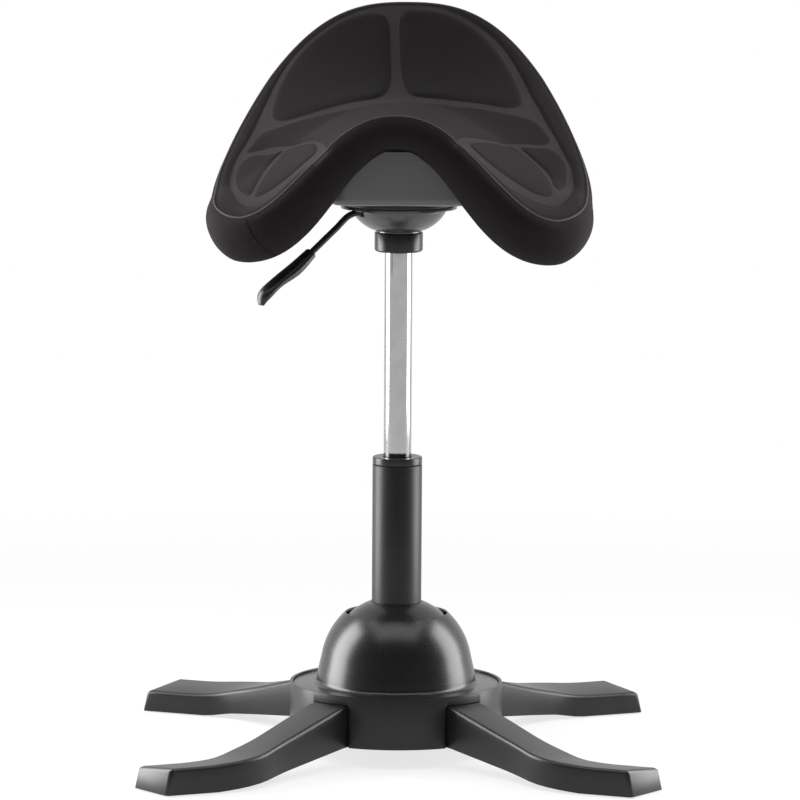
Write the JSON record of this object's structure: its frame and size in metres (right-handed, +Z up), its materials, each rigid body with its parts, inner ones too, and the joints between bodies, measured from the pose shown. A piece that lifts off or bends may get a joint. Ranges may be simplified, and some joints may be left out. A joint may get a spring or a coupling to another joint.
{
  "type": "ergonomic stool",
  "caption": "Saddle-shaped stool seat on a gas-lift column that swivels, slides and tilts in a domed hub with splayed feet, with a height lever under the seat.",
  "frame": {"origin": "on the floor, on the column's axis", "axes": "+Z up along the column, -Y towards the low front of the saddle, +X to the right seen from the front"},
  "size_m": [0.5196, 0.5076, 0.7447],
  "materials": {
    "black_nylon": "satin moulded",
    "rubber": "matte",
    "steel": "machined",
    "die_cast": "as cast",
    "black_steel": "satin black paint",
    "pale_nylon": "smooth",
    "gloss_black": "gloss",
    "chrome": "polished",
    "grey_plastic": "satin",
    "plywood": "sanded",
    "upholstery": "woven, sewn in panels"
  },
  "bodies": {
    "base": {"base_hub": "black_nylon", "leg_front_left": "black_nylon", "leg_front_right": "black_nylon", "leg_rear_left": "black_nylon", "leg_rear_right": "black_nylon", "leg_bolt_front_left": "steel", "leg_bolt_front_right": "steel", "leg_bolt_rear_left": "steel", "leg_bolt_rear_right": "steel", "glide_front_left": "rubber", "glide_front_right": "rubber", "glide_rear_left": "rubber", "glide_rear_right": "rubber", "dome_cover": "black_nylon", "dome_screw_right": "steel", "dome_screw_left": "steel", "tilt_housing": "die_cast", "housing_screw_right": "steel", "housing_screw_rear": "steel", "housing_screw_left": "steel", "housing_screw_front": "steel", "housing_pin_left": "steel", "housing_pin_right": "steel", "centring_ring": "rubber"},
    "gimbal": {"gimbal_ring": "die_cast", "sleeve_pin_front": "steel", "sleeve_pin_rear": "steel"},
    "column": {"column_sleeve": "black_steel", "column_cap": "black_nylon", "outer_tube": "black_steel", "tube_bush": "gloss_black", "thrust_washer_lower": "pale_nylon"},
    "spindle": {"piston_rod": "steel", "thrust_washer_upper": "steel", "bump_stop": "rubber", "rod_clip": "steel", "piston": "pale_nylon"},
    "seat": {"lift_tube": "chrome", "rod_gland": "pale_nylon", "valve_body": "die_cast", "lift_bell": "gloss_black", "bell_collar": "gloss_black", "mount_plate": "die_cast", "seat_pan": "grey_plastic", "seat_bracket": "black_steel", "seat_bolt_front_left": "steel", "seat_bolt_front_right": "steel", "seat_bolt_rear_left": "steel", "seat_bolt_rear_right": "steel", "board_screw_front_left": "steel", "board_screw_front_right": "steel", "board_screw_rear_left": "steel", "board_screw_rear_right": "steel", "seat_board": "plywood", "seat_cushion": "upholstery", "lever_pin": "steel"},
    "lever": {"lever_rod": "black_steel", "lever_grip": "black_nylon"},
    "button": {"release_button": "steel"}
  },
  "joints": [
    {"name": "tilt_front_back", "type": "hinge", "parent": "base", "child": "gimbal", "pos_m": [0, 0, 0.086], "axis": [1, 0, 0], "range_deg": [-10, 10], "stiffness_Nm_per_rad": 120, "deforming": ["centring_ring"]},
    {"name": "tilt_side", "type": "hinge", "parent": "gimbal", "child": "column", "pos_m": [0, 0, 0.086], "axis": [0, 1, 0], "range_deg": [-10, 10], "stiffness_Nm_per_rad": 120},
    {"name": "swivel", "type": "hinge", "parent": "column", "child": "spindle", "pos_m": [0, 0, 0.0365], "axis": [0, 0, 1], "continuous": true},
    {"name": "lift", "type": "slide", "parent": "spindle", "child": "seat", "axis": [0, 0, 1], "range_m": [-0.19, 0]},
    {"name": "lever_lift", "type": "hinge", "parent": "seat", "child": "lever", "pos_m": [-0.02785, -0.0195, 0.5508], "axis": [-0.5736, 0.8192, 0], "range_deg": [0, 5], "stiffness_Nm_per_rad": 0.6, "springref_deg": -14.32},
    {"name": "button_press", "type": "slide", "parent": "seat", "child": "button", "axis": [0, 0, 1], "range_m": [-0.003, 0], "stiffness_N_per_m": 300, "springref_m": 0.003}
  ],
  "couplings": [
    {"joint": "button_press", "follows": "lever_lift", "m_per_rad": -0.033}
  ]
}
